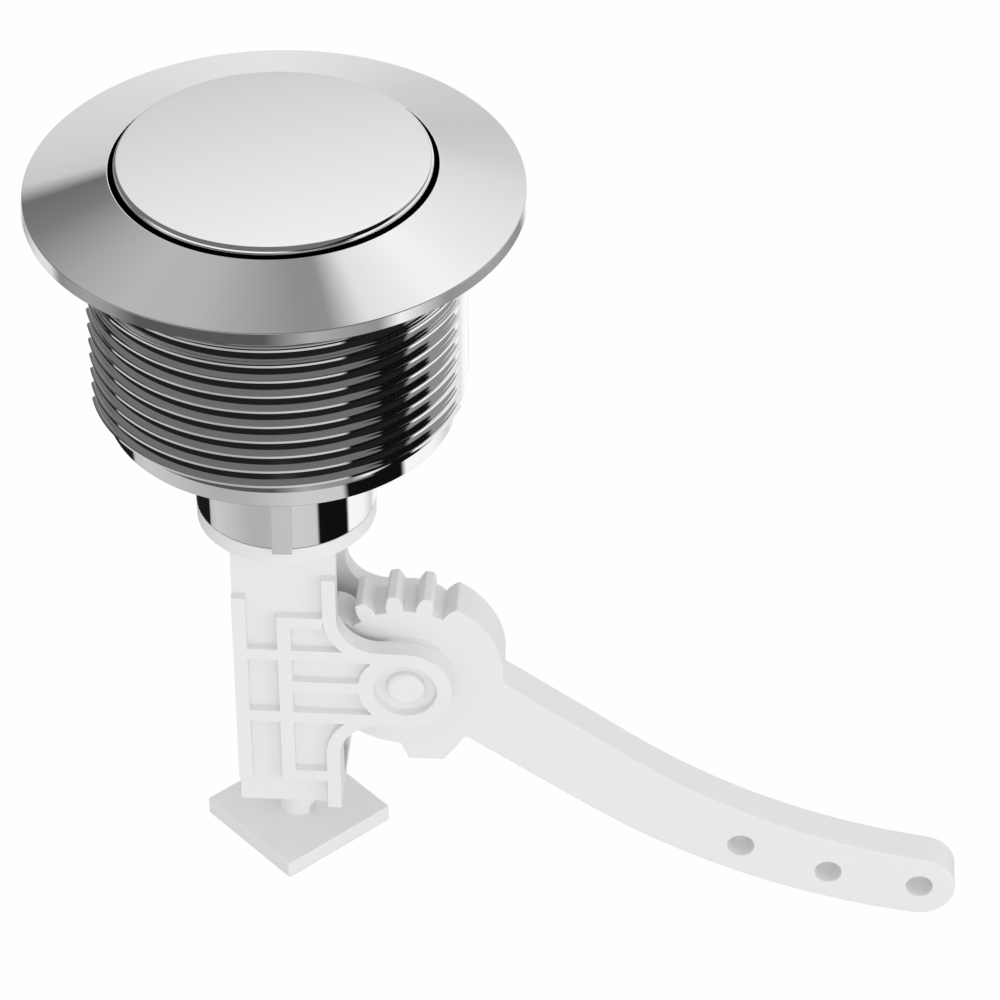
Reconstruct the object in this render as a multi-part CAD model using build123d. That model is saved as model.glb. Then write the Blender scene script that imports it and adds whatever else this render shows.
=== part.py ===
"""Push button actuator for a toilet cistern, in millimetres.

A chromed button slides in a threaded bezel that is fixed in the cistern's lid. Under it a toothed plunger
runs down through a ribbed housing. The teeth turn a lever, whose far end lifts the flush valve's link, and
a square foot on the plunger's rod goes down with the button. A coil spring brings the button back.

The origin is the centre of the bezel's seat, which lies on the lid. +Z is up and +X is towards the lever.
"""

import os
from math import acos, cos, degrees, pi, radians, sin, sqrt, tan

from build123d import *

# Fits between pieces
running_gap = 0.05      # radial, a shaft that turns or slides in its bore
sliding_gap = 0.25      # between flat faces that pass each other
rest_gap = 0.3          # between a stop and what it stops, at rest
stroke = 12.0           # travel of the button

# Bezel: flange, threaded barrel, floor and sleeve
flange_radius = 31.0
rim_height = 1.55
rim_draft = 0.2         # how much less the rim's radius is at its top
opening_radius = 20.15
opening_height = 4.75   # top of the flange's cone, at the opening
lip_base = 1.3          # underside of the lip that narrows the barrel to the opening
barrel_bore = 20.6
crest_radius = 23.9
thread_depth = 0.55
thread_pitch = 2.27
thread_crests = 11
first_crest = -4.0
crest_land = 0.1
root_chamfer = 0.3      # where a flank runs out on the flat below it
neck_radius = 24.0      # plain shoulder under the flange that centres the bezel in the lid's hole
neck_height = 1.2
band_radius = 22.3      # plain band below the thread
band_height = 2.2
floor_thickness = 2.0
barrel_bottom = -30.8
sleeve_radius = 11.6
sleeve_wall = 1.65
sleeve_bottom = -46.2
key_width = 2.6
key_height = 1.0        # how far a key stands out of the sleeve
key_angle = -86.7       # degrees about Z, the key nearest the front
edge_round = 0.3

# Button cap and the carrier inside it
cap_gap = 0.6           # radial, between the cap and the opening
cap_wall = 1.5
cap_top_edge = 6.0
cap_crown = 0.7         # height of the domed top over its edge
cap_shoulder = 0.9
cap_bottom = -7.0
carrier_thickness = 1.9
carrier_hub_radius = 7.6
carrier_hub_bottom = -7.0
carrier_ribs = 6
carrier_rib_width = 1.2
carrier_rib_height = 3.0
socket_depth = 4.3      # how far the stem goes into the carrier

# Return spring
spring_radius = 13.4    # middle of the wire
spring_wire = 0.7       # radius of the wire
spring_turns = 6

# Housing: collar, snap fingers and the ribbed column
collar_height = 2.3
neck_length = 4.0       # length of the bore that guides the stem
plug_wall = 2.6
finger_length = 6.0
finger_slot = 2.4
hook_height = 1.4
hook_overlap = 0.9
column_width = 13.6
column_depth = 15.9     # over the ribs
column_bottom = -92.5
web_thickness = 1.4
rib_height = 1.2
rib_width = 1.8
side_wall = 1.3
base_thickness = 1.6
lip_depth = 2.4
lip_thickness = 1.1
lip_top = -83.5
boss_radius = 6.2
boss_recess = 4.2
throat_fillet = 5.5     # where the column runs out into the boss
middle_rib_x = -0.1
left_rib_top = -57.6
right_rib_top = -54.1
step_rib_top = -60.5
low_rib_bottom = -88.7

# Lever and its pin
pivot_x = 15.6
pivot_z = -72.24
pin_radius = 2.5
pin_chamfer = 0.4
pin_recess = 0.1        # how far the pin's end lies below the boss's face
gear_teeth = 17         # on the full circle
pitch_radius = 11.475
pressure_angle = 20.0
tip_radius = 12.65
root_radius = 10.2
first_tooth = 56.1      # degrees, the tooth that ends the plain part of the rim
tooth_spaces = 8
lever_front = -3.95
gear_width = 6.0
arm_thickness = 5.0
arm_angle = -35.2       # degrees, the straight stretch
arm_offset = 0.8        # of the straight stretch, above the pivot
arm_straight = 32.3
arm_bend_radius = 96.7
arm_length = 78.4       # pivot to the last hole, along the middle of the arm
arm_root_width = 10.8
arm_tip_width = 9.7
arm_stations = 7
hole_radius = 1.8
hole_spacing = 12.6
hole_drops = 0.0, 0.6, 0.6  # below the arm's middle line, from the last hole inwards
stop_top_x = 13.3, 24.1     # the stop's sides where they run into the sector and the arm
stop_bottom_x = 15.6, 20.3
stop_top = -82.0
stop_bottom = -87.45

# Plunger, its rack and the foot
stem_radius = 4.95
rack_left = -5.2
rack_tip_gap = 0.25
backlash = 0.2
rack_teeth = 6
rack_bottom_margin = 1.0
rod_radius = 2.6
rod_groove_width = 1.7
rod_groove_depth = 0.7
rod_groove_angle = -28.0
foot_side = 17.4
foot_thickness = 2.5
foot_top = -99.9
foot_turn = 45.0
foot_edge = 0.4
foot_socket = 2.0

# Worked out from the values above
root_of_thread = crest_radius - thread_depth
floor_top = barrel_bottom + floor_thickness
sleeve_bore = sleeve_radius - sleeve_wall
cap_radius = opening_radius - cap_gap
cap_inner = cap_radius - cap_wall
cap_ceiling = cap_top_edge - cap_wall
carrier_underside = cap_ceiling - carrier_thickness
socket_top = carrier_hub_bottom + socket_depth + 3
collar_bottom = sleeve_bottom - collar_height
web_face = column_depth / 2 - rib_height
cheek_inner = web_face - web_thickness
column_half = column_width / 2
gear_back = lever_front + gear_width
rack_pitch_x = pivot_x - pitch_radius
rack_tip_x = pivot_x - root_radius - rack_tip_gap
rack_root_x = pivot_x - tip_radius - rack_tip_gap
rack_step = 2 * pi * pitch_radius / gear_teeth
tooth_step = 360 / gear_teeth
rack_half_depth = cheek_inner - sliding_gap
rack_top = collar_bottom - rest_gap


def tube(radius, bore, low, high):
    """A plain ring about Z; a bore of 0 makes a disc."""
    base = Align.CENTER, Align.CENTER, Align.MIN
    ring = Pos(0, 0, low) * Cylinder(radius, high - low, align=base)
    if bore:
        ring -= Pos(0, 0, low - 1) * Cylinder(bore, high - low + 2, align=base)
    return ring


def block(x, y, z):
    """A box from three (low, high) pairs."""
    size = [high - low for low, high in (x, y, z)]
    middle = [(high + low) / 2 for low, high in (x, y, z)]
    return Pos(*middle) * Box(*size)


def area(x, z):
    """A rectangle in the plane of the cheeks, from two (low, high) pairs."""
    return Pos(sum(x) / 2, sum(z) / 2) * Rectangle(x[1] - x[0], z[1] - z[0])


def slab(sketch, front, back):
    """A sketch in X and Z, as thick as from y = front to y = back."""
    return extrude(Plane.XZ.offset(-back) * sketch, back - front)


def turned(points):
    """A solid of revolution about Z from (radius, height) points."""
    return revolve(Plane.XZ * make_face(Polyline(*points, close=True)), Axis.Z)


def polar(radius, angle, centre=(pivot_x, pivot_z)):
    """A point in X and Z at a radius and an angle in degrees about the pivot."""
    return (
        centre[0] + radius * cos(radians(angle)),
        centre[1] + radius * sin(radians(angle)),
    )


def thread_profile():
    """The barrel's outside, from the neck down to the band: its flats face up, flanks run in going down."""
    points = [(neck_radius, 0), (neck_radius, -neck_height), (root_of_thread, -neck_height)]
    for n in range(thread_crests):
        crest = first_crest - n * thread_pitch
        points.append((root_of_thread, crest + root_chamfer))
        points.append((root_of_thread + root_chamfer, crest))
        points.append((crest_radius, crest))
        points.append((crest_radius, crest - crest_land))
    band_top = barrel_bottom + band_height
    return points + [(band_radius, band_top), (band_radius, barrel_bottom)]


def bezel():
    """Flange, barrel, floor and sleeve, moulded as one and plated."""
    rim_top = flange_radius - rim_draft
    outside = [(rim_top, rim_height), (flange_radius, 0)] + thread_profile()
    outside += [(sleeve_radius, barrel_bottom), (sleeve_radius, sleeve_bottom), (sleeve_bore, sleeve_bottom)]
    inside = [(sleeve_bore, floor_top), (barrel_bore, floor_top), (barrel_bore, lip_base - 0.4)]
    inside += [(opening_radius, lip_base), (opening_radius, opening_height)]
    shell = turned(outside + inside)
    rounded = [
        edge
        for edge in shell.edges().filter_by(GeomType.CIRCLE)
        if (edge.radius, edge.center().Z) in ((flange_radius, 0), (rim_top, rim_height), (opening_radius, opening_height))
    ]
    shell = fillet(rounded, edge_round)
    key = block((0, sleeve_radius + key_height), (-key_width / 2, key_width / 2), (sleeve_bottom, barrel_bottom))
    key -= tube(sleeve_bore + sleeve_wall / 2, 0, sleeve_bottom - 1, barrel_bottom + 1)
    for turn in (key_angle, key_angle + 180):
        shell += Rot(0, 0, turn) * key
    return shell


def button_cap():
    """Domed cap with a round shoulder and a skirt."""
    top = cap_top_edge + cap_crown
    crown_radius = (cap_radius**2 + cap_crown**2) / (2 * cap_crown)
    halfway = sqrt(crown_radius**2 - (cap_radius / 2) ** 2) - crown_radius + cap_crown
    section = make_face(
        Wire(
            [
                ThreePointArc((0, top), (cap_radius / 2, cap_top_edge + halfway), (cap_radius, cap_top_edge)),
                Line((cap_radius, cap_top_edge), (cap_radius, cap_bottom)),
                Line((cap_radius, cap_bottom), (cap_inner, cap_bottom)),
                Line((cap_inner, cap_bottom), (cap_inner, cap_ceiling)),
                Line((cap_inner, cap_ceiling), (0, cap_ceiling)),
                Line((0, cap_ceiling), (0, top)),
            ]
        )
    )
    shoulder = [v for v in section.vertices() if abs(v.X - cap_radius) < 0.01 and v.Y > 0]
    return revolve(Plane.XZ * fillet(shoulder, cap_shoulder), Axis.Z)


def button_carrier():
    """Disc that fills the cap, with a ribbed hub that takes the plunger's stem."""
    disc = tube(cap_inner - running_gap, 0, carrier_underside, cap_ceiling)
    hub = tube(carrier_hub_radius, 0, carrier_hub_bottom, carrier_underside)
    carrier = disc + hub
    rib_reach = spring_radius - spring_wire - 1
    rib = block(
        (0, rib_reach),
        (-carrier_rib_width / 2, carrier_rib_width / 2),
        (carrier_underside - carrier_rib_height, carrier_underside),
    )
    for n in range(carrier_ribs):
        carrier += Rot(0, 0, n * 360 / carrier_ribs) * rib
    return carrier - tube(stem_radius, 0, carrier_hub_bottom - 1, socket_top)


def return_spring():
    """Compression spring with ground ends, between the barrel's floor and the carrier."""
    length = carrier_underside - floor_top
    path = Helix(length / spring_turns, length, spring_radius)
    start = Plane(origin=path @ 0, z_dir=path % 0)
    coil = Pos(0, 0, floor_top) * sweep(start * Circle(spring_wire), path=path)
    return coil & tube(spring_radius + 2, 0, floor_top, carrier_underside)


def cheek_outline():
    """Side of the housing: the column and the boss that carries the pin, with rounded throats."""
    column = area((-column_half, column_half), (column_bottom, collar_bottom))
    neck = area((0, pivot_x), (pivot_z - boss_radius, pivot_z + boss_radius))
    outline = column + neck + Pos(pivot_x, pivot_z) * Circle(boss_radius)
    throats = [
        vertex
        for vertex in outline.vertices()
        if abs(vertex.X - column_half) < 0.01 and abs(abs(vertex.Y - pivot_z) - boss_radius) < 0.01
    ]
    return fillet(throats, throat_fillet)


def cheek_ribs(outline):
    """The raised border and ribs on a cheek, with the ring round the pin."""
    border = outline - offset(outline, -rib_width)
    border &= area((column_half - rib_width, pivot_x + boss_radius), (column_bottom, right_rib_top))
    middle = middle_rib_x - rib_width / 2, middle_rib_x + rib_width / 2
    left_edge, right_edge = -column_half, column_half - rib_width
    upper = pivot_z + boss_radius
    lower = pivot_z - boss_radius
    ribs = border + area((left_edge, left_edge + rib_width), (low_rib_bottom, left_rib_top))
    ribs += area(middle, (low_rib_bottom, step_rib_top))
    ribs += area((middle[0], right_edge), (step_rib_top - rib_width, step_rib_top))
    ribs += area((left_edge, pivot_x), (upper - rib_width, upper)) & outline
    ribs += area((left_edge, pivot_x), (lower, lower + rib_width)) & outline
    ribs += area((middle[0], pivot_x), (pivot_z - rib_width / 2, pivot_z + rib_width / 2))
    ribs += area((middle[0], right_edge), (low_rib_bottom, low_rib_bottom + rib_width))
    ribs += Pos(pivot_x, pivot_z) * Circle(boss_radius)
    return ribs - Pos(pivot_x, pivot_z) * Circle(boss_recess)


def housing():
    """White column under the sleeve: two cheeks joined by a side wall, a base and the collar."""
    outline = cheek_outline()
    ribs = cheek_ribs(outline)
    body = slab(outline, -web_face, -cheek_inner) + slab(outline, cheek_inner, web_face)
    body += slab(ribs, -column_depth / 2, -web_face) + slab(ribs, web_face, column_depth / 2)
    inner = -cheek_inner, cheek_inner
    body += block((-column_half, -column_half + side_wall), inner, (column_bottom, collar_bottom))
    body += block((-column_half, column_half), inner, (column_bottom, column_bottom + base_thickness))
    for side in (-1, 1):
        depth = sorted((side * cheek_inner, side * (cheek_inner - lip_depth)))
        body += block((column_half - lip_thickness, column_half), depth, (column_bottom, lip_top))
    body += tube(sleeve_radius, 0, collar_bottom, sleeve_bottom)
    plug_radius = sleeve_bore - running_gap
    body += tube(plug_radius, 0, collar_bottom, floor_top + hook_height)
    hook = [(plug_radius - 1, floor_top), (plug_radius + hook_overlap, floor_top)]
    hook += [(plug_radius + hook_overlap, floor_top + hook_height / 3), (plug_radius - 1, floor_top + hook_height)]
    body += turned(hook)
    body -= tube(plug_radius - plug_wall, 0, collar_bottom + neck_length, floor_top + hook_height + 1)
    reach = plug_radius + hook_overlap + 1
    slot_z = floor_top + hook_height - finger_length, floor_top + hook_height + 1
    for turn in (45, 135):
        body -= Rot(0, 0, turn) * block((-reach, reach), (-finger_slot / 2, finger_slot / 2), slot_z)
    body -= tube(stem_radius + running_gap, 0, collar_bottom - 1, collar_bottom + neck_length + 1)
    body -= tube(rod_radius + running_gap, 0, column_bottom - 1, column_bottom + base_thickness + 1)
    return body - slab(Pos(pivot_x, pivot_z) * Circle(pin_radius), -column_depth, column_depth)


def involute(angle):
    return tan(angle) - angle


def half_tooth(radius):
    """Half of a tooth's angle at a radius, in degrees."""
    base = pitch_radius * cos(radians(pressure_angle))
    at_pitch = pi / (2 * gear_teeth) + involute(radians(pressure_angle))
    if radius <= base:
        return degrees(at_pitch)
    return degrees(at_pitch - involute(acos(base / radius)))


def tooth_space(centre):
    """The gap between two teeth of the lever, from past the tip down to the root."""
    base = pitch_radius * cos(radians(pressure_angle))
    outer = tip_radius + 1
    middle = (base + tip_radius) / 2

    def side(radius, hand):
        return polar(radius, centre + hand * (tooth_step / 2 - half_tooth(min(radius, tip_radius))))

    edges = []
    for hand in (-1, 1):
        edges.append(Line(side(outer, hand), side(tip_radius, hand)))
        edges.append(ThreePointArc(side(tip_radius, hand), side(middle, hand), side(base, hand)))
        edges.append(Line(side(base, hand), side(root_radius, hand)))
    edges.append(ThreePointArc(side(root_radius, -1), polar(root_radius, centre), side(root_radius, 1)))
    edges.append(Line(side(outer, -1), side(outer, 1)))
    return make_face(Wire(edges))


def arm_point(distance, across):
    """A point beside the arm's middle line, which is straight and then bends up in one arc."""
    heading = radians(arm_angle)
    along = min(distance, arm_straight)
    turn = max(distance - arm_straight, 0) / arm_bend_radius
    x = pivot_x - arm_offset * sin(heading) + along * cos(heading)
    z = pivot_z + arm_offset * cos(heading) + along * sin(heading)
    x += arm_bend_radius * (sin(heading + turn) - sin(heading))
    z -= arm_bend_radius * (cos(heading + turn) - cos(heading))
    heading += turn
    return x - across * sin(heading), z + across * cos(heading)


def arm_outline():
    """The arm, tapering a little towards a round end about the last hole."""
    def edge(hand):
        points = []
        for n in range(arm_stations):
            share = n / (arm_stations - 1)
            width = arm_root_width + (arm_tip_width - arm_root_width) * share
            points.append(arm_point(arm_length * share, hand * width / 2))
        return points

    top, bottom = edge(1), edge(-1)
    end = arm_point(arm_length + arm_tip_width / 2, 0)
    wire = [Spline(*top), ThreePointArc(top[-1], end, bottom[-1]), Spline(*reversed(bottom)), Line(bottom[0], top[0])]
    return make_face(Wire(wire))


def lever():
    """Sector gear, hub, stop and curved arm in one moulding."""
    rim = Pos(pivot_x, pivot_z) * Circle(tip_radius)
    stop = Polyline(
        (stop_top_x[0], stop_top),
        (stop_bottom_x[0], stop_bottom),
        (stop_bottom_x[1], stop_bottom),
        (stop_top_x[1], stop_top),
        (pivot_x, pivot_z),
        close=True,
    )
    sector = rim + make_face(stop)
    for n in range(tooth_spaces):
        sector -= tooth_space(first_tooth + (n + 0.5) * tooth_step)
    body = slab(sector, lever_front, gear_back)
    body += slab(arm_outline() - rim, lever_front, lever_front + arm_thickness)
    spacer = Pos(pivot_x, pivot_z) * Circle(boss_radius - edge_round / 2)
    body += slab(spacer, -cheek_inner + sliding_gap, cheek_inner - sliding_gap)
    body -= slab(Pos(pivot_x, pivot_z) * Circle(pin_radius + running_gap), -column_depth, column_depth)
    for n, drop in enumerate(hole_drops):
        hole = Pos(*arm_point(arm_length - n * hole_spacing, -drop)) * Circle(hole_radius)
        body -= slab(hole, lever_front - 1, lever_front + arm_thickness + 1)
    return body


def pivot_pin():
    """Plain pin through both cheeks and the lever's hub."""
    length = column_depth - 2 * pin_recess
    pin = chamfer(Cylinder(pin_radius, length).edges().filter_by(GeomType.CIRCLE), pin_chamfer)
    return Pos(pivot_x, 0, pivot_z) * Rot(90, 0, 0) * pin


def plunger_rack():
    """Stem, toothed block and rod that go down with the button."""
    depth = -rack_half_depth, rack_half_depth
    space = first_tooth + (round((180 - first_tooth) / tooth_step - 0.5) + 0.5) * tooth_step
    lowest = pivot_z + pitch_radius * radians(180 - space) - rack_step
    slope = tan(radians(pressure_angle))
    half = rack_step / 4 - backlash / 2
    root_half = half + (rack_pitch_x - rack_root_x) * slope
    tip_half = half - (rack_tip_x - rack_pitch_x) * slope
    bottom = lowest - rack_step / 2 - rack_bottom_margin
    profile = area((rack_left, rack_root_x), (bottom, rack_top))
    for n in range(rack_teeth):
        z = lowest + n * rack_step
        tooth = Polyline(
            (rack_root_x, z - root_half), (rack_tip_x, z - tip_half), (rack_tip_x, z + tip_half),
            (rack_root_x, z + root_half), close=True,
        )
        profile += make_face(tooth)
    plunger = slab(profile, *depth)
    plunger += tube(stem_radius, 0, rack_top, socket_top)
    rod = tube(rod_radius, 0, foot_top - foot_socket, bottom)
    groove = block(
        (rod_radius - rod_groove_depth, rod_radius + 1),
        (-rod_groove_width / 2, rod_groove_width / 2),
        (foot_top, column_bottom - stroke / 2),
    )
    return plunger + (rod - Rot(0, 0, rod_groove_angle) * groove)


def foot_plate():
    """Square foot on the end of the rod."""
    plate = Pos(0, 0, foot_top - foot_thickness / 2) * Box(foot_side, foot_side, foot_thickness)
    plate = fillet(plate.edges().filter_by(Axis.Z), foot_edge)
    plate -= tube(rod_radius, 0, foot_top - foot_socket, foot_top + 1)
    return Rot(0, 0, foot_turn) * plate


def main():
    os.makedirs("parts", exist_ok=True)
    makers = (
        bezel, button_cap, button_carrier, return_spring, housing, lever, pivot_pin, plunger_rack, foot_plate,
    )
    for maker in makers:
        export_step(maker(), f"parts/{maker.__name__}.step")


main()
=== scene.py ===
"""Cistern push button: plated bezel and cap, white mouldings, and the studio they are shown in."""

import math

import bmesh
import bpy
from bpy.props import FloatProperty, FloatVectorProperty, IntProperty, PointerProperty
from mathutils import Matrix, Vector


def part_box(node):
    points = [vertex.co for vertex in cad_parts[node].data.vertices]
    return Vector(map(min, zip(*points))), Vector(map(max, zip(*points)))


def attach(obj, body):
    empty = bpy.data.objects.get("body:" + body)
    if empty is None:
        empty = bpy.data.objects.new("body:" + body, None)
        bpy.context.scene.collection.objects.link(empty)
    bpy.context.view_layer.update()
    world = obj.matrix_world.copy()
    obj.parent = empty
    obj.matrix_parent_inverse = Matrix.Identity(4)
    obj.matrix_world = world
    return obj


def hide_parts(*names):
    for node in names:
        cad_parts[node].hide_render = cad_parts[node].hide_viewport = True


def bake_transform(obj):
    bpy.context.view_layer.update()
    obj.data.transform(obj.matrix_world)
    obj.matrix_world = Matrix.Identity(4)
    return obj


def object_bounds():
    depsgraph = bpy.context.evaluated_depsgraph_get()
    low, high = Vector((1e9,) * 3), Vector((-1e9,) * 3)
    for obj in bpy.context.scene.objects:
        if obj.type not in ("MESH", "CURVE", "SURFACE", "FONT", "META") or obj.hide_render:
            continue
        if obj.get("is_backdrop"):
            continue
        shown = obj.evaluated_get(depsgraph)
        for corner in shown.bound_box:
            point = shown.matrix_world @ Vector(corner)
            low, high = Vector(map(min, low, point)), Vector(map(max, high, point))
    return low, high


bl_info = {
    "name": "Cistern push button",
    "version": (1, 0, 0),
    "blender": (4, 5, 0),
    "location": "3D View > Sidebar > Push Button",
    "description": "Builds the plated bezel and cap, the white mouldings and the studio",
    "category": "Add Mesh",
}

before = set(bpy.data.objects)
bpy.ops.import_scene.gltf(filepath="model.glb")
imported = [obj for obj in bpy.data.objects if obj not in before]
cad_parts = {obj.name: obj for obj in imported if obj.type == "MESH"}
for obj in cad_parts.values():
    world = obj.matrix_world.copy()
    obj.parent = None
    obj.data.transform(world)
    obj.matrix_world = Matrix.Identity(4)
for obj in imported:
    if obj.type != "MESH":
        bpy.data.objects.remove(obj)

MM = 0.001
SHARP = math.radians(35)
PLATING = "bright_plating"
MOULDING = "white_moulding"
WIRE = "drawn_wire"
MERGE = 1e-6


class BezelSizes(bpy.types.PropertyGroup):
    """Sizes of the bezel, in millimetres from the seat of its flange."""

    flange: FloatProperty(name="Flange", description="Radius of the flange", default=31.0)
    rim: FloatProperty(name="Rim", description="Height of the flange's rim", default=1.55)
    draft: FloatProperty(name="Draft", description="How much less the rim's radius is at its top", default=0.2)
    opening: FloatProperty(name="Opening", description="Radius of the button's opening", default=20.15)
    opening_top: FloatProperty(name="Opening top", description="Height of the opening's edge", default=4.75)
    lip_base: FloatProperty(name="Lip base", description="Height where the opening's wall starts", default=1.3)
    bore: FloatProperty(name="Bore", description="Radius inside the barrel", default=20.6)
    neck: FloatProperty(name="Neck", description="Radius of the plain neck", default=24.0)
    neck_height: FloatProperty(name="Neck height", description="Length of the plain neck", default=1.2)
    crest: FloatProperty(name="Crest", description="Radius over the thread's crests", default=24.1)
    depth: FloatProperty(name="Thread depth", description="Crest to root", default=0.47)
    slope: FloatProperty(name="Ledge slope", description="How far a ledge falls from root to crest", default=0.24)
    pitch: FloatProperty(name="Pitch", description="Thread's pitch", default=2.27)
    land: FloatProperty(name="Land", description="Height of the thread's flat crest", default=0.3)
    first_crest: FloatProperty(name="First crest", description="Height of the top crest in front", default=-3.54)
    turns: IntProperty(name="Turns", description="Crests of the thread in front", default=11)
    gap: FloatProperty(name="Gap", description="Degrees that the thread leaves plain on each side", default=33.0)
    band: FloatProperty(name="Band", description="Radius of the plain band", default=22.3)
    band_top: FloatProperty(name="Band top", description="Height where the band's chamfer ends", default=-28.65)
    band_chamfer: FloatProperty(name="Band chamfer", description="Chamfer at the band's top", default=0.6)
    base: FloatProperty(name="Base", description="Height of the barrel's lower end", default=-30.8)
    floor_top: FloatProperty(name="Floor", description="Height of the floor's upper face", default=-28.8)
    sleeve: FloatProperty(name="Sleeve", description="Radius of the sleeve", default=11.6)
    sleeve_bore: FloatProperty(name="Sleeve bore", description="Radius inside the sleeve", default=9.95)
    sleeve_end: FloatProperty(name="Sleeve end", description="Height of the sleeve's lower end", default=-46.2)
    key_height: FloatProperty(name="Key height", description="How far a key stands out", default=1.0)
    key_width: FloatProperty(name="Key width", description="Width of a key", default=2.6)
    key_angle: FloatProperty(name="Key angle", description="Degrees about Z, the front key", default=-86.7)
    columns: IntProperty(name="Columns", description="Steps round the axis", default=288)


class CapSizes(bpy.types.PropertyGroup):
    """Sizes of the button's cap, in millimetres."""

    radius: FloatProperty(name="Radius", description="Outside of the cap", default=19.6)
    wall: FloatProperty(name="Wall", description="Thickness of the cap", default=1.5)
    edge: FloatProperty(name="Top edge", description="Height of the top's edge", default=5.75)
    crown: FloatProperty(name="Crown", description="Height of the dome over its edge", default=0.7)
    skirt: FloatProperty(name="Skirt", description="Height of the skirt's lower end", default=-7.0)
    shoulder: FloatProperty(name="Shoulder", description="Width of the rounded shoulder", default=0.55)
    fall: FloatProperty(name="Fall", description="Height of the rounded shoulder", default=0.95)


class Finishes(bpy.types.PropertyGroup):
    """Colours and gloss of the materials."""

    plated: FloatVectorProperty(
        name="Plating", description="Colour of the plating", subtype="COLOR", default=(0.93, 0.932, 0.936)
    )
    plated_rough: FloatProperty(name="Plating roughness", description="Blur of the reflections", default=0.03)
    white: FloatVectorProperty(
        name="White", description="Colour of the moulded plastic", subtype="COLOR", default=(0.86, 0.86, 0.86)
    )
    white_rough: FloatProperty(name="Plastic roughness", description="Blur of the plastic's gloss", default=0.42)
    steel: FloatVectorProperty(
        name="Steel", description="Colour of the spring", subtype="COLOR", default=(0.55, 0.55, 0.56)
    )


class Studio(bpy.types.PropertyGroup):
    """Camera, floor and light."""

    camera: FloatVectorProperty(
        name="Camera", description="Place of the camera", subtype="TRANSLATION", unit="LENGTH",
        default=(0.05485, -0.43343, 0.29658),
    )
    aim: FloatVectorProperty(
        name="Aim", description="Direction of view", subtype="DIRECTION", default=(-0.0493, 0.7836, -0.6193)
    )
    lens: FloatProperty(name="Lens", description="Focal length in millimetres", default=154.88)
    press_room: FloatProperty(
        name="Press room", description="Room under the object for the pressed foot", unit="LENGTH", default=0.0035
    )
    paper: FloatProperty(name="Paper", description="How much of the floor's own light the camera sees", default=0.97)
    ambient: FloatProperty(name="Ambient", description="Strength of the room's plain light", default=0.78)
    key: FloatProperty(name="Key", description="Power of the lamp in front", subtype="POWER", default=2.0)
    fill: FloatProperty(name="Fill", description="Power of the lamp on the right", subtype="POWER", default=1.2)


class Socket:
    """A node's output that takes part in sums."""

    def __init__(self, shader, link):
        self.shader = shader
        self.link = link

    def _do(self, operation, *values):
        return self.shader.node("ShaderNodeMath", {"operation": operation}, *values)

    def __add__(self, other):
        return self._do("ADD", self, other)

    def __radd__(self, other):
        return self._do("ADD", other, self)

    def __sub__(self, other):
        return self._do("SUBTRACT", self, other)

    def __rsub__(self, other):
        return self._do("SUBTRACT", other, self)

    def __mul__(self, other):
        return self._do("MULTIPLY", self, other)

    def __rmul__(self, other):
        return self._do("MULTIPLY", other, self)

    def __pow__(self, other):
        return self._do("POWER", self, other)

    def within(self, low, high):
        """0 at low, 1 at high and smooth between."""
        settings = {"interpolation_type": "SMOOTHSTEP"}
        return self.shader.node("ShaderNodeMapRange", settings, self, low, high)

    def along(self, low, high, stops):
        """Greys at places between low and high, as a ramp."""
        ramp = [((place - low) / (high - low), (grey, grey, grey, 1.0)) for place, grey in stops]
        share = (self - low) * (1 / (high - low))
        return self.shader.node("ShaderNodeValToRGB", {"stops": ramp}, share)


class Shader:
    """A node tree that is written as expressions."""

    def __init__(self, tree):
        self.tree = tree
        tree.nodes.clear()

    def node(self, kind, settings=None, *values, out=0, **named):
        """Adds a node: its settings first, then its sockets by place or by name."""
        made = self.tree.nodes.new(kind)
        for key, value in (settings or {}).items():
            if key == "stops":
                ramp = made.color_ramp.elements
                for index, (place, grey) in enumerate(value):
                    stop = ramp[index] if index < 2 else ramp.new(place)
                    stop.position = place
                    stop.color = grey
            else:
                setattr(made, key, value)
        pairs = list(enumerate(values)) + [(key.replace("_", " "), value) for key, value in named.items()]
        for key, value in pairs:
            if isinstance(value, Socket):
                self.tree.links.new(value.link, made.inputs[key])
            else:
                made.inputs[key].default_value = value
        return Socket(self, made.outputs[out]) if made.outputs else None

    def blend(self, factor, low, high):
        """Mixes two colours by a factor."""
        mix = self.tree.nodes.new("ShaderNodeMix")
        mix.data_type = "RGBA"
        for key, value in ((0, factor), (6, low), (7, high)):
            if isinstance(value, Socket):
                self.tree.links.new(value.link, mix.inputs[key])
            else:
                mix.inputs[key].default_value = value
        return Socket(self, mix.outputs[2])

    def parts(self, vector):
        """The three numbers of a vector."""
        split = self.tree.nodes.new("ShaderNodeSeparateXYZ")
        self.tree.links.new(vector.link, split.inputs[0])
        return [Socket(self, split.outputs[index]) for index in range(3)]

    def ray(self, kind):
        """1 on rays of one kind, from the Light Path node."""
        path = self.tree.nodes.new("ShaderNodeLightPath")
        return Socket(self, path.outputs[kind])


def colour(values, gain=1.0):
    """An opaque colour for a node's socket."""
    return (values[0] * gain, values[1] * gain, values[2] * gain, 1.0)


def material(name):
    """A new material and its shader."""
    made = bpy.data.materials.new(name)
    made.use_nodes = True
    return made, Shader(made.node_tree)


def surface(shader, **sockets):
    """Ends a material in a Principled shader with these sockets."""
    principled = shader.node("ShaderNodeBsdfPrincipled", None, **sockets)
    shader.node("ShaderNodeOutputMaterial", None, principled)


def object_place(shader):
    """Object coordinates, which stay fixed to the piece."""
    return shader.node("ShaderNodeTexCoord", None, out=3)


def place_noise(shader, scale, detail=3.0):
    """Soft noise that is fixed to the piece."""
    return shader.node("ShaderNodeTexNoise", None, Vector=object_place(shader), Scale=scale, Detail=detail)


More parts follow.
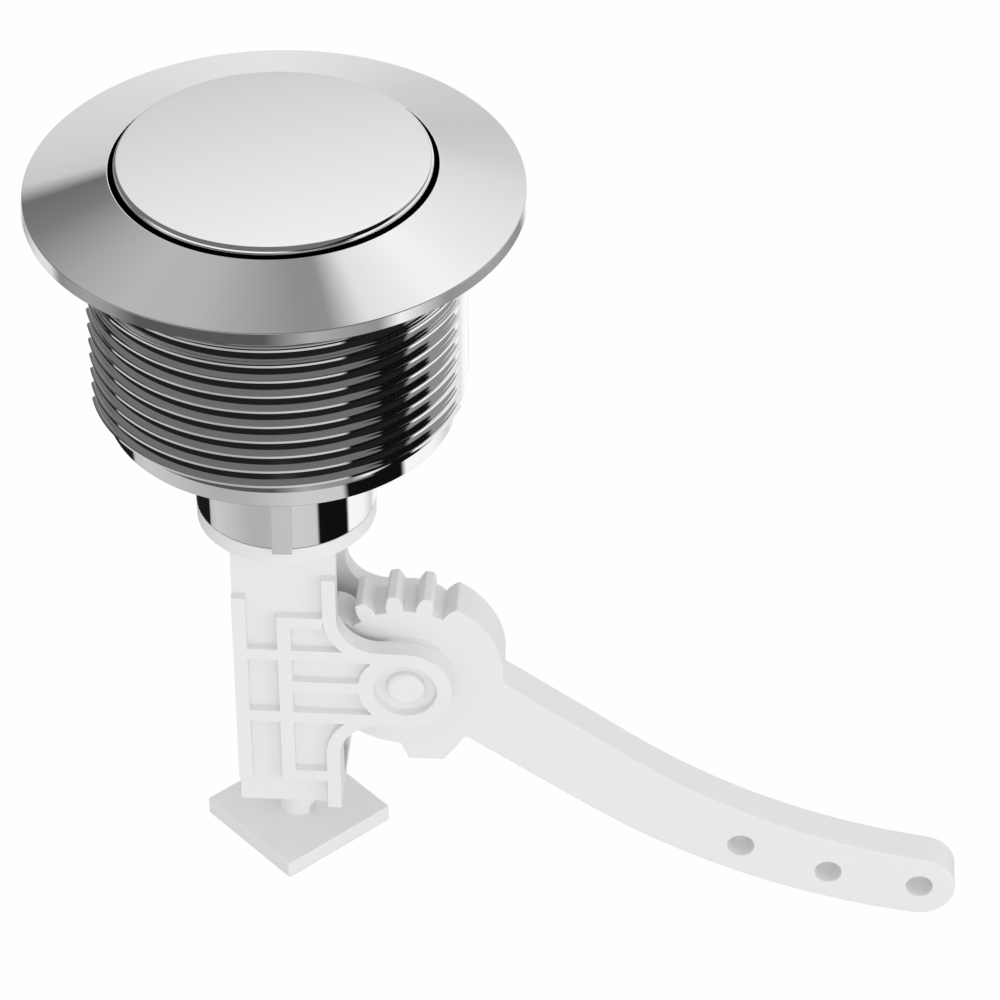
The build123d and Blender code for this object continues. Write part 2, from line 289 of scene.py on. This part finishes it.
def plating(look):
    """Bright plating over moulded plastic, faintly wavy."""
    made, shader = material(PLATING)
    haze = place_noise(shader, 90.0)
    wave = place_noise(shader, 220.0, 2.0)
    bright = shader.blend(haze, colour(look.plated, 0.985), colour(look.plated))
    rough = look.plated_rough + 0.02 * haze
    bump = shader.node("ShaderNodeBump", None, Strength=0.01, Distance=0.0003, Height=wave)
    surface(shader, Base_Color=bright, Metallic=1.0, Roughness=rough, Normal=bump)


def white_plastic(look):
    """White moulded plastic, a little uneven in gloss and tone."""
    made, shader = material(MOULDING)
    tone = place_noise(shader, 45.0)
    grain = place_noise(shader, 2600.0, 2.0)
    base = shader.blend(tone, colour(look.white, 0.98), colour(look.white))
    rough = look.white_rough + 0.08 * (tone - 0.5) + 0.05 * grain
    bump = shader.node("ShaderNodeBump", None, Strength=0.05, Distance=0.00005, Height=grain)
    surface(shader, Base_Color=base, Roughness=rough, Normal=bump, IOR=1.48)


def spring_steel(look):
    """Drawn wire with a soft sheen."""
    made, shader = material(WIRE)
    tone = place_noise(shader, 400.0)
    base = shader.blend(tone, colour(look.steel, 0.8), colour(look.steel))
    surface(shader, Base_Color=base, Metallic=1.0, Roughness=0.3 + 0.1 * tone)


def finish_piece(name, bm, body, nodes, look, sharp=SHARP):
    """Makes a mesh piece, smooth but for its sharp edges, that rides on a body if one is named."""
    mesh = bpy.data.meshes.new(name)
    bm.to_mesh(mesh)
    bm.free()
    mesh.shade_smooth()
    mesh.set_sharp_from_angle(angle=sharp)
    mesh.materials.clear()
    mesh.materials.append(bpy.data.materials[look])
    piece = bpy.data.objects.new(name, mesh)
    bpy.context.scene.collection.objects.link(piece)
    if body:
        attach(piece, body)
    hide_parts(*nodes)
    return piece


def even_faces(piece):
    """Lets the broad faces keep flat reflections beside small rounded edges."""
    even = piece.modifiers.new("even_faces", "WEIGHTED_NORMAL")
    even.keep_sharp = True
    even.weight = 100


def turned(profile, columns, closed):
    """Spins a chain of (radius, height) points about Z."""
    bm = bmesh.new()
    chain = [bm.verts.new((radius, 0.0, height)) for radius, height in profile]
    for first, second in zip(chain, chain[1:] + chain[:1] if closed else chain[1:]):
        bm.edges.new((first, second))
    bmesh.ops.spin(
        bm, geom=bm.verts[:] + bm.edges[:], cent=(0, 0, 0), axis=(0, 0, 1), dvec=(0, 0, 0),
        angle=math.tau, steps=columns, use_merge=True, use_duplicate=False,
    )
    bmesh.ops.remove_doubles(bm, verts=bm.verts, dist=1e-4)
    bmesh.ops.recalc_face_normals(bm, faces=bm.faces)
    return bm


def ring_edges(bm, radius, height, slack=1e-3):
    """The edges of the ring at a radius and a height."""
    def on_ring(vert):
        return abs(math.hypot(vert.co.x, vert.co.y) - radius) < slack and abs(vert.co.z - height) < slack

    return [edge for edge in bm.edges if on_ring(edge.verts[0]) and on_ring(edge.verts[1])]


def bevel(bm, edges, offset, segments):
    """Rounds some edges."""
    bmesh.ops.bevel(
        bm, geom=edges, offset=offset, offset_type="OFFSET", segments=segments,
        profile=0.5, affect="EDGES", material=-1, clamp_overlap=True,
    )


def round_ring(bm, radius, height, offset, segments=2):
    """Rounds the ring edge at a radius and a height."""
    bevel(bm, ring_edges(bm, radius, height), offset, segments)


def add_to(bm, other):
    """Moves the geometry of one bmesh into another."""
    scrap = bpy.data.meshes.new("scrap")
    other.to_mesh(scrap)
    other.free()
    bm.from_mesh(scrap)
    bpy.data.meshes.remove(scrap)


def thread_arc(size, crest, first, lowest):
    """A stretch of the thread's ridge: its ledge faces up and its flank runs in going down.

    The lowest ridges end in a short steep flank, over the plain band.
    """
    sunk = 0.3
    last_foot = -0.7
    last_width = 0.1
    root = size.crest - size.depth
    core = size.band - sunk
    foot = last_foot if lowest else size.slope - size.pitch
    section = [
        (core, size.slope), (root, size.slope), (size.crest, 0.0), (size.crest, -size.land),
        (core + last_width if lowest else root, foot), (core, foot),
    ]
    span = 180 - size.gap
    steps = round(size.columns * span / 360)
    bm = bmesh.new()
    chain = [bm.verts.new((radius, 0.0, crest + height)) for radius, height in section]
    loop = [bm.edges.new(pair) for pair in zip(chain, chain[1:] + chain[:1])]
    bmesh.ops.rotate(bm, cent=(0, 0, 0), matrix=Matrix.Rotation(math.radians(first), 3, "Z"), verts=bm.verts)
    bmesh.ops.spin(
        bm, geom=chain + loop, cent=(0, 0, 0), axis=(0, 0, 1), dvec=(0, 0, size.pitch * span / 360 / steps),
        angle=math.radians(span), steps=steps, use_merge=False, use_duplicate=False,
    )
    bmesh.ops.holes_fill(bm, edges=[edge for edge in bm.edges if edge.is_boundary], sides=0)
    bmesh.ops.recalc_face_normals(bm, faces=bm.faces)
    return bm


def add_thread(bm, size):
    """A right-hand thread up the barrel, in front and behind, with a plain gap on each side."""
    front = size.gap / 2 - 180
    for turn in range(size.turns + 1):
        level = size.first_crest - turn * size.pitch
        for first in (front, front + 180):
            crest = level + size.pitch * (first + 90) / 360
            if turn < size.turns or first > front:
                add_to(bm, thread_arc(size, crest, first, crest < size.band_top + size.pitch))


def keep_crests_sharp(mesh, size):
    """Marks both edges of the thread's flat crests, which are too blunt to be sharp by their angle."""
    slack = 0.01 * MM
    level = 0.1 * MM
    on_crest = [abs(math.hypot(vert.co.x, vert.co.y) - size.crest * MM) < slack for vert in mesh.vertices]
    heights = [vert.co.z for vert in mesh.vertices]
    for edge in mesh.edges:
        start, end = edge.vertices
        if on_crest[start] and on_crest[end] and abs(heights[start] - heights[end]) < level:
            edge.use_edge_sharp = True


def sleeve_key(size, angle):
    """A bar that stands out of the sleeve along its whole length."""
    sunk = 0.8
    overlap = 0.5
    rounding = 0.12
    inner = size.sleeve_bore + sunk
    outer = size.sleeve + size.key_height
    length = size.base - size.sleeve_end + overlap
    bm = bmesh.new()
    bmesh.ops.create_cube(bm, size=1.0)
    bmesh.ops.scale(bm, vec=(outer - inner, size.key_width, length), verts=bm.verts)

    def is_open(edge):
        below = max(vert.co.z for vert in edge.verts) < 0
        outside = min(vert.co.x for vert in edge.verts) > 0
        return below or outside

    bevel(bm, [edge for edge in bm.edges if is_open(edge)], rounding, 2)
    bmesh.ops.translate(bm, vec=((outer + inner) / 2, 0, size.sleeve_end + length / 2), verts=bm.verts)
    bmesh.ops.rotate(bm, cent=(0, 0, 0), matrix=Matrix.Rotation(math.radians(angle), 3, "Z"), verts=bm.verts)
    return bm


class PUSH_OT_bezel(bpy.types.Operator):
    """Turns the bezel, winds its thread and sets the sleeve's keys"""

    bl_idname = "push.bezel"
    bl_label = "Plated Bezel"

    def execute(self, context):
        size = context.scene.push_bezel
        wall = size.crest - size.depth - 0.05
        rim_top = size.flange - size.draft
        waist = size.band - size.band_chamfer
        profile = [
            (size.opening, size.opening_top), (rim_top, size.rim), (size.flange, 0.0), (size.neck, 0.0),
            (size.neck, -size.neck_height), (wall, -size.neck_height), (wall, size.band_top + size.pitch),
            (waist, size.band_top + size.pitch - 0.3), (waist, size.band_top + size.band_chamfer),
            (size.band, size.band_top), (size.band, size.base), (size.sleeve, size.base),
            (size.sleeve, size.sleeve_end), (size.sleeve_bore, size.sleeve_end),
            (size.sleeve_bore, size.floor_top), (size.bore, size.floor_top), (size.bore, size.lip_base - 0.4),
            (size.opening, size.lip_base),
        ]
        bm = turned(profile, size.columns, True)
        round_ring(bm, rim_top, size.rim, 0.08)
        round_ring(bm, size.flange, 0.0, 0.08)
        round_ring(bm, size.opening, size.opening_top, 0.2)
        round_ring(bm, size.band, size.base, 0.06)
        round_ring(bm, size.sleeve, size.sleeve_end, 0.15)
        add_thread(bm, size)
        for angle in (size.key_angle, size.key_angle + 180):
            add_to(bm, sleeve_key(size, angle))
        bmesh.ops.scale(bm, vec=(MM, MM, MM), verts=bm.verts)
        piece = finish_piece("bezel_plated", bm, "housing", ["bezel"], PLATING)
        keep_crests_sharp(piece.data, size)
        even_faces(piece)
        return {"FINISHED"}


class PUSH_OT_cap(bpy.types.Operator):
    """Turns the domed cap with its round shoulder"""

    bl_idname = "push.cap"
    bl_label = "Button Cap"

    def execute(self, context):
        size = context.scene.push_cap
        top = size.radius - size.shoulder
        dome = (top**2 + size.crown**2) / (2 * size.crown)
        centre = size.edge + size.crown - dome
        rings = 24
        steps = 14
        columns = 240
        skirt_rounding = 0.2
        profile = []
        for ring in range(rings):
            radius = top * ring / rings
            profile.append((radius, centre + math.sqrt(dome**2 - radius**2)))
        for step in range(steps + 1):
            turn = math.pi / 2 * (1 - step / steps)
            height = size.edge - size.fall * (1 - math.sin(turn))
            profile.append((top + size.shoulder * math.cos(turn), height))
        inner = size.radius - size.wall
        ceiling = size.edge - size.wall
        profile += [(size.radius, size.skirt), (inner, size.skirt), (inner, ceiling), (0.0, ceiling)]
        bm = turned(profile, columns, False)
        round_ring(bm, size.radius, size.skirt, skirt_rounding)
        bmesh.ops.scale(bm, vec=(MM, MM, MM), verts=bm.verts)
        finish_piece("cap_plated", bm, "plunger", ["button_cap"], PLATING)
        return {"FINISHED"}


def lengthened_housing(bm):
    """Brings the column's lower end down and blunts the wedge where a window meets the curved rib."""
    low_end = -0.0904
    longer = 0.0008
    wedge_tip = (0.005, -0.06054)
    wedge_side = (0.005027, -0.061162)
    for vert in bm.verts:
        if vert.co.z < low_end:
            vert.co.z -= longer
    tips = [vert for vert in bm.verts if near(vert, wedge_tip)]
    sides = [vert for vert in bm.verts if near(vert, wedge_side)]
    merged = {tip: min(sides, key=lambda side: (side.co - tip.co).length) for tip in tips}
    bmesh.ops.weld_verts(bm, targetmap=merged)


def near(vert, place):
    """Whether a point is at a place seen from the front."""
    slack = 1e-5
    return abs(vert.co.x - place[0]) < slack and abs(vert.co.z - place[1]) < slack


def sunk_groove(bm):
    """Runs the rod's groove down into the foot."""
    foot_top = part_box("foot_plate")[1].z
    deeper = 0.0005
    slack = 1e-5
    for vert in bm.verts:
        if abs(vert.co.z - foot_top) < slack:
            vert.co.z -= deeper


def joined_mesh(node):
    """A node's mesh with its faces joined at their edges."""
    bm = bmesh.new()
    bm.from_mesh(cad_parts[node].data)
    bmesh.ops.remove_doubles(bm, verts=bm.verts, dist=MERGE)
    return bm


def rounded_moulding(name, node, body, width, reshape=None):
    """A moulding with the outline of its node and softly rounded edges."""
    flat = math.radians(0.4)
    bm = joined_mesh(node)
    bmesh.ops.dissolve_limit(
        bm, angle_limit=flat, use_dissolve_boundaries=False, verts=bm.verts, edges=bm.edges
    )
    if reshape:
        reshape(bm)
    piece = finish_piece(name, bm, body, [node], MOULDING, math.pi)
    soften(piece, width)
    return piece


def soften(piece, width):
    """Rounds every sharp edge a little."""
    soft = piece.modifiers.new("soft_edges", "BEVEL")
    soft.width = width
    soft.segments = 2
    soft.limit_method = "ANGLE"
    soft.angle_limit = SHARP
    soft.use_clamp_overlap = True
    even_faces(piece)


def foot_plate():
    """The square foot, turned so that a corner points sideways."""
    low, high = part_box("foot_plate")
    half_diagonal = 0.0123
    corner = 0.0004
    rounding = 0.00022
    side = (half_diagonal + corner * (math.sqrt(2) - 1)) * math.sqrt(2)
    bm = bmesh.new()
    bmesh.ops.create_cube(bm, size=1.0)
    bmesh.ops.scale(bm, vec=(side, side, high.z - low.z), verts=bm.verts)
    upright = [edge for edge in bm.edges if abs(edge.verts[0].co.z - edge.verts[1].co.z) > MERGE]
    bevel(bm, upright, corner, 4)
    bmesh.ops.rotate(bm, cent=(0, 0, 0), matrix=Matrix.Rotation(math.radians(45), 3, "Z"), verts=bm.verts)
    bmesh.ops.translate(bm, vec=(low + high) / 2, verts=bm.verts)
    piece = finish_piece("foot_moulded", bm, "plunger", ["foot_plate"], MOULDING, math.pi)
    soften(piece, rounding)


class PUSH_OT_mouldings(bpy.types.Operator):
    """Makes the white mouldings with rounded edges"""

    bl_idname = "push.mouldings"
    bl_label = "White Mouldings"

    def execute(self, context):
        rounded_moulding("housing_moulded", "housing", "housing", 0.00018, lengthened_housing)
        lever = rounded_moulding("lever_moulded", "lever", "lever", 0.0002)
        lever.visible_glossy = False  # the photo's plating doesn't mirror it
        rounded_moulding("plunger_moulded", "plunger_rack", "plunger", 0.00015, sunk_groove)
        rounded_moulding("pin_moulded", "pivot_pin", "housing", 0.0001)
        foot_plate()
        return {"FINISHED"}


def return_spring():
    """The coil, whose lower end sits on the barrel's floor; it rides on no body, and its placement is baked into its
    mesh.
    """
    piece = finish_piece("spring_coil", joined_mesh("return_spring"), None, ["return_spring"], WIRE)
    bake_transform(piece)


class PUSH_OT_inner(bpy.types.Operator):
    """Makes the coil and gives the hidden carrier its material"""

    bl_idname = "push.inner"
    bl_label = "Inner Pieces"

    def execute(self, context):
        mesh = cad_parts["button_carrier"].data
        mesh.materials.clear()
        mesh.materials.append(bpy.data.materials[MOULDING])
        return_spring()
        return {"FINISHED"}


class PUSH_OT_materials(bpy.types.Operator):
    """Makes the plating, the white plastic and the spring steel"""

    bl_idname = "push.materials"
    bl_label = "Materials"

    def execute(self, context):
        look = context.scene.push_finishes
        plating(look)
        white_plastic(look)
        spring_steel(look)
        return {"FINISHED"}


def add_lamp(name, place, aim, size, power):
    """A square soft lamp that the plating doesn't mirror."""
    data = bpy.data.lights.new(name, "AREA")
    data.size = size
    data.energy = power
    lamp = bpy.data.objects.new(name, data)
    lamp.location = place
    lamp.rotation_euler = (Vector(aim) - Vector(place)).to_track_quat("-Z", "Y").to_euler()
    lamp.visible_glossy = False
    bpy.context.scene.collection.objects.link(lamp)


def ceiling(shader, way):
    """The lit ceiling that the button and the flange mirror, and how far a ray lies from its middle.

    Round the middle it goes from a dim left, over a grey front and a sharp edge, to a bright right.
    Its edge is nearer on the left.
    """
    side = math.radians(-172.8)
    rise = math.radians(34.2)
    level = Vector((math.sin(side), -math.cos(side), 0))
    middle = level * math.cos(rise) + Vector((0, 0, math.sin(rise)))
    upper = Vector((0, 0, math.cos(rise))) - level * math.sin(rise)
    across = middle.cross(upper)

    def part(axis):
        dot = {"operation": "DOT_PRODUCT"}
        return shader.node("ShaderNodeVectorMath", dot, way, tuple(axis), out=1)

    right, ahead = part(across), part(upper)
    degrees = 180 / math.pi
    round_middle = shader.node("ShaderNodeMath", {"operation": "ARCTAN2"}, right, ahead) * degrees
    off_middle = shader.node("ShaderNodeMath", {"operation": "ARCCOSINE"}, part(middle)) * degrees
    ring = round_middle.along(-180, 180, (
        (-180, 0.82), (-160, 0.73), (-125, 0.66), (-112, 0.62), (-100, 0.16), (-80, 0.21), (-53, 0.4),
        (-35, 0.5), (-18, 0.48), (4, 0.29), (10, 0.29), (18, 0.8), (36, 0.96), (56, 0.87), (100, 0.75),
        (118, 0.66), (140, 0.61), (160, 0.66), (172, 0.76), (180, 0.82),
    ))
    plain = 0.8 + 0.35 * right + 0.75 * ahead
    spread = off_middle.within(11, 18)
    left = shader.node("ShaderNodeMath", {"operation": "MINIMUM"}, right, 0.0)
    nearer_left = 25.0
    return plain * (1 - spread) + ring * spread, off_middle - nearer_left * left


def mirrored_room(shader):
    """What the plating mirrors: the ceiling, a light horizon, a ring of walls and a dark ground.

    Each row runs round the compass, from the rear over the left, the front and the right to the rear again.
    Slanted rows lean, so that an upright stripe on the barrel comes from one place in them.
    """
    lean_share = 0.9
    steady_height = 38.0
    ceiling_edge = (39, 44)
    way = shader.node("ShaderNodeTexCoord", None)
    x, y, z = shader.parts(way)
    degrees = 180 / math.pi
    azimuth = shader.node("ShaderNodeMath", {"operation": "ARCTAN2"}, x, 0.0 - y) * degrees
    height = shader.node("ShaderNodeMath", {"operation": "ARCSINE"}, z) * degrees
    lean = shader.node("ShaderNodeMath", {"operation": "ABSOLUTE"}, height) - steady_height
    slanted = azimuth - lean_share * lean
    front = slanted.along(-180, 180, (
        (-180, 0.05), (-133, 0.05), (-129, 0.17), (63, 0.17), (66, 0.005), (107, 0.005), (110, 0.3), (180, 0.3),
    ))
    horizon = slanted.along(-180, 180, (
        (-180, 0.04), (-125, 0.04), (-110, 0.17), (-60, 0.17), (-45, 1.0), (30, 1.0), (44, 0.6), (50, 0.05),
        (86, 0.05), (92, 1.0), (180, 1.0),
    ))
    rim = azimuth.along(-180, 180, (
        (-180, 0.9), (-164, 0.9), (-146, 0.45), (-122, 0.8), (-110, 0.76), (-103, 0.27), (-82, 0.37),
        (-70, 0.3), (-56, 0.1), (0, 0.1), (20, 0.44), (34, 0.35), (50, 0.3), (60, 0.95), (72, 0.6), (84, 0.3),
        (112, 0.38), (146, 0.28), (162, 1.0), (180, 1.0),
    ))
    walls = slanted.along(-180, 180, (
        (-180, 0.04), (-160, 0.035), (-143, 0.01), (-111, 0.01), (-108, 0.55), (-95, 0.62), (-62, 0.53),
        (-41, 0.46), (-21, 0.46), (15, 0.64), (44, 0.62), (47.5, 0.005), (89, 0.005), (93, 1.0), (122, 0.97),
        (143, 0.68), (160, 1.0), (180, 1.0),
    ))
    ground = slanted.along(-180, 180, (
        (-180, 0.05), (-160, 0.03), (-140, 0.014), (96, 0.014), (101, 0.25), (180, 0.3),
    ))

    def step(low, lower, upper, soft=2.0):
        share = height.within(low - soft, low + soft)
        return lower * (1 - share) + upper * share

    beside = slanted.along(-180, 180, (
        (-180, 0.014), (-137, 0.014), (-134, 0.218), (-125, 0.218), (-122, 0.014), (104, 0.014), (109, 0.25),
        (180, 0.3),
    ))
    below = slanted.along(-180, 180, (
        (-180, 0.014), (-137, 0.014), (-134, 0.218), (62, 0.218), (65, 0.005), (107, 0.005), (110, 0.3), (180, 0.3),
    ))
    room = step(-69, below, beside, 1.0)
    room = step(-58, room, ground, 1.0)
    room = step(-43, room, walls)
    room = step(-35, room, rim, 1.0)
    room = step(-10, room, horizon)
    room = step(6, room, front)
    lit, off_middle = ceiling(shader, way)
    outside = off_middle.within(*ceiling_edge)
    return lit * (1 - outside) + room * outside


def lay_floor(height, paper_white):
    """A pale floor that takes the object's shadow and that the plating looks through."""
    bm = bmesh.new()
    bmesh.ops.create_grid(bm, x_segments=1, y_segments=1, size=6.0)
    bmesh.ops.translate(bm, vec=(0, 0, height), verts=bm.verts)
    mesh = bpy.data.meshes.new("floor")
    bm.to_mesh(mesh)
    bm.free()
    floor = bpy.data.objects.new("floor", mesh)
    bpy.context.scene.collection.objects.link(floor)
    floor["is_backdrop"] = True
    made, shader = material("pale_floor")
    mesh.materials.append(made)
    matte = shader.node("ShaderNodeBsdfDiffuse", None, Color=(0.85, 0.85, 0.85, 1))
    glow = shader.node("ShaderNodeEmission", None, Strength=1.0)
    clear = shader.node("ShaderNodeBsdfTransparent", None)
    paper = shader.node("ShaderNodeMixShader", None, paper_white * shader.ray("Is Camera Ray"), matte, glow)
    mixed = shader.node("ShaderNodeMixShader", None, shader.ray("Is Glossy Ray"), paper, clear)
    shader.node("ShaderNodeOutputMaterial", None, mixed)


def light_room(studio):
    """A plain pale world, and what the plating mirrors in its place."""
    world = bpy.data.worlds.new("studio")
    world.use_nodes = True
    bpy.context.scene.world = world
    shader = Shader(world.node_tree)
    seen = shader.ray("Is Camera Ray")
    plain = studio.ambient + (1 - studio.ambient) * seen
    strength = plain + shader.ray("Is Glossy Ray") * (mirrored_room(shader) - plain)
    sky = shader.node("ShaderNodeBackground", None, Color=(1, 1, 1, 1), Strength=strength)
    shader.node("ShaderNodeOutputWorld", None, sky)
    middle = (0.02, 0, -0.06)
    lamp_size = 0.5
    add_lamp("key", (0.15, -0.95, 0.25), middle, lamp_size, studio.key)
    add_lamp("fill", (0.85, -0.45, 0.2), middle, lamp_size, studio.fill)


class PUSH_OT_stage(bpy.types.Operator):
    """Sets the camera, the floor, the lamps and the room that the plating mirrors"""

    bl_idname = "push.stage"
    bl_label = "Studio"

    def execute(self, context):
        scene = context.scene
        studio = scene.push_studio
        lens = bpy.data.cameras.new("camera")
        lens.lens = studio.lens
        lens.sensor_width = 36.0
        lens.clip_start = 0.01
        lens.clip_end = 20.0
        camera = bpy.data.objects.new("camera", lens)
        camera.location = studio.camera
        camera.rotation_euler = Vector(studio.aim).to_track_quat("-Z", "Y").to_euler()
        scene.collection.objects.link(camera)
        scene.camera = camera
        lay_floor(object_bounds()[0].z - studio.press_room, studio.paper)
        light_room(studio)
        scene.view_settings.view_transform = "Standard"
        return {"FINISHED"}


class PUSH_PT_panel(bpy.types.Panel):
    """Lists the steps in the sidebar"""

    bl_idname = "PUSH_PT_panel"
    bl_label = "Push Button"
    bl_space_type = "VIEW_3D"
    bl_region_type = "UI"
    bl_category = "Push Button"

    def draw(self, context):
        column = self.layout.column()
        for step in STEPS:
            column.operator(step.bl_idname)


GROUPS = {
    "push_bezel": BezelSizes,
    "push_cap": CapSizes,
    "push_finishes": Finishes,
    "push_studio": Studio,
}
STEPS = (PUSH_OT_materials, PUSH_OT_bezel, PUSH_OT_cap, PUSH_OT_mouldings, PUSH_OT_inner, PUSH_OT_stage)


def register():
    for name, group in GROUPS.items():
        bpy.utils.register_class(group)
        setattr(bpy.types.Scene, name, PointerProperty(type=group))
    for step in (*STEPS, PUSH_PT_panel):
        bpy.utils.register_class(step)


def unregister():
    for step in (PUSH_PT_panel, *reversed(STEPS)):
        bpy.utils.unregister_class(step)
    for name, group in GROUPS.items():
        delattr(bpy.types.Scene, name)
        bpy.utils.unregister_class(group)


def main():
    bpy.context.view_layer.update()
    register()
    bpy.ops.push.materials()
    bpy.ops.push.bezel()
    bpy.ops.push.cap()
    bpy.ops.push.mouldings()
    bpy.ops.push.inner()
    bpy.ops.push.stage()


if __name__ == "__main__":
    main()
